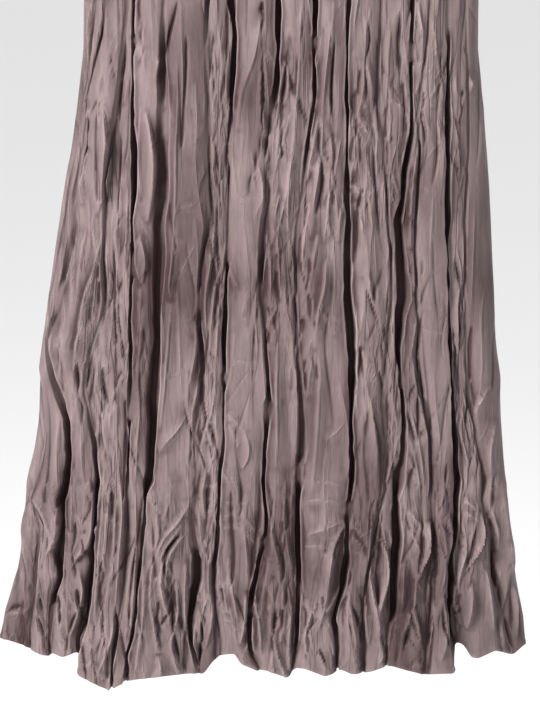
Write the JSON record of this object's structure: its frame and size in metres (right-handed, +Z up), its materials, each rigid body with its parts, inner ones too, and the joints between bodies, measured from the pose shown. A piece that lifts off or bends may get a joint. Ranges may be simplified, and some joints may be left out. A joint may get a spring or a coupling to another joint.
{
  "type": "crinkle maxi skirt",
  "caption": "Long crinkled satin skirt hanging as a hollow, flattened tube of deep uneven pleats from a plain elastic waistband, open at waist and hem.",
  "frame": {"origin": "centre of the waist opening, half way up the waistband, where the skirt is held", "axes": "+Z up along the hanging skirt, +X across it, +Y from its front to its back, so the front faces -Y"},
  "size_m": [0.5605, 0.1406, 0.964],
  "materials": {
    "front_cloth": "taupe mauve crinkled satin with a soft sheen",
    "back_cloth": "taupe mauve crinkled satin with a soft sheen",
    "band_cloth": "taupe mauve satin over elastic, finely gathered"
  },
  "bodies": {
    "root": {"front_panel": "front_cloth", "back_panel": "back_cloth", "waistband": "band_cloth"}
  },
  "joints": []
}
